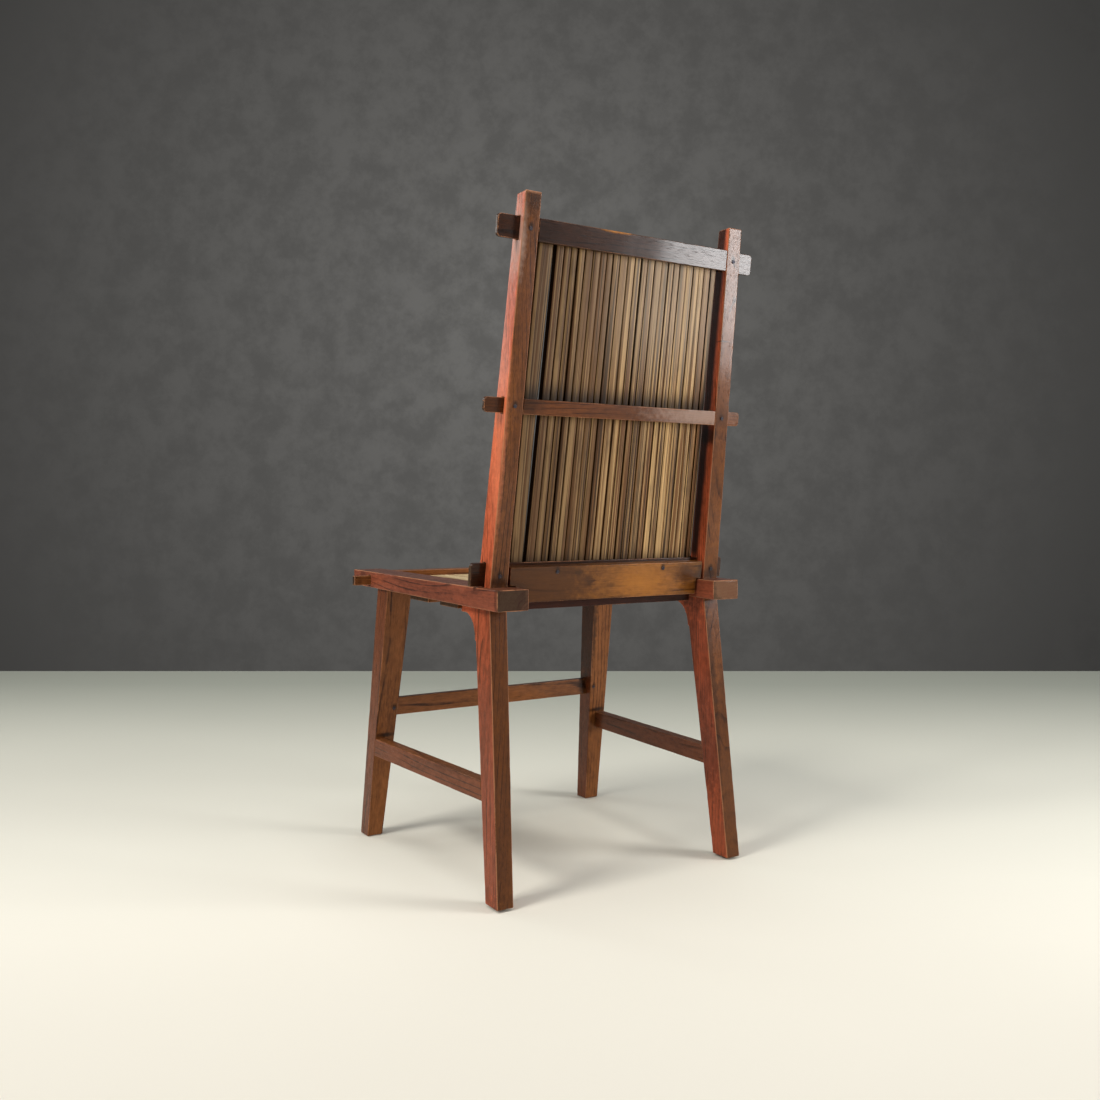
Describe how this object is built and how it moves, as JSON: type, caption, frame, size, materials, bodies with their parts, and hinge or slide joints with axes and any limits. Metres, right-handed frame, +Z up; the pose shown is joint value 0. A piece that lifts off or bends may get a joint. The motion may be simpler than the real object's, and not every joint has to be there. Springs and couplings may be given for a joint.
{
  "type": "dining chair",
  "caption": "Wooden dining chair with plank side rails, through-tenoned rails, a tall raked back of split bamboo slats and a slatted seat",
  "frame": {"origin": "on the floor, at the middle of the chair's bounding box", "axes": "+Z up; the sitter faces -Y, so the back is towards +Y; +X is the sitter's left"},
  "size_m": [0.5272, 0.5168, 0.99],
  "materials": {
    "frame_wood": "satin",
    "board_wood": "satin",
    "back_bamboo": "satin",
    "seat_bamboo": "satin",
    "iron": "matte"
  },
  "bodies": {
    "root": {"rear_upright_left": "frame_wood", "rear_upright_right": "frame_wood", "front_leg_left": "frame_wood", "front_leg_right": "frame_wood", "side_rail_left": "frame_wood", "side_rail_right": "frame_wood", "front_seat_rail": "frame_wood", "rear_seat_rail": "frame_wood", "seat_bearer_front": "frame_wood", "seat_bearer_rear": "frame_wood", "side_stretcher_left": "frame_wood", "side_stretcher_right": "frame_wood", "front_stretcher": "frame_wood", "top_rail": "frame_wood", "mid_rail": "frame_wood", "lower_cross_rail": "frame_wood", "back_board": "board_wood", "upright_nails": "iron", "board_nails": "iron", "stretcher_nails": "iron", "foot_glides": "iron", "back_slat_01": "back_bamboo", "back_slat_02": "back_bamboo", "back_slat_03": "back_bamboo", "back_slat_04": "back_bamboo", "back_slat_05": "back_bamboo", "back_slat_06": "back_bamboo", "back_slat_07": "back_bamboo", "back_slat_08": "back_bamboo", "back_slat_09": "back_bamboo", "back_slat_10": "back_bamboo", "back_slat_11": "back_bamboo", "back_slat_12": "back_bamboo", "back_slat_13": "back_bamboo", "back_slat_14": "back_bamboo", "back_slat_15": "back_bamboo", "back_slat_16": "back_bamboo", "back_slat_17": "back_bamboo", "back_slat_18": "back_bamboo", "back_slat_19": "back_bamboo", "back_slat_20": "back_bamboo", "back_slat_21": "back_bamboo", "back_slat_22": "back_bamboo", "back_slat_23": "back_bamboo", "back_slat_24": "back_bamboo", "back_slat_25": "back_bamboo", "seat_slat_01": "seat_bamboo", "seat_slat_02": "seat_bamboo", "seat_slat_03": "seat_bamboo", "seat_slat_04": "seat_bamboo", "seat_slat_05": "seat_bamboo", "seat_slat_06": "seat_bamboo", "seat_slat_07": "seat_bamboo", "seat_slat_08": "seat_bamboo", "seat_slat_09": "seat_bamboo", "seat_slat_10": "seat_bamboo", "seat_slat_11": "seat_bamboo", "seat_slat_12": "seat_bamboo", "seat_slat_13": "seat_bamboo"}
  },
  "joints": []
}
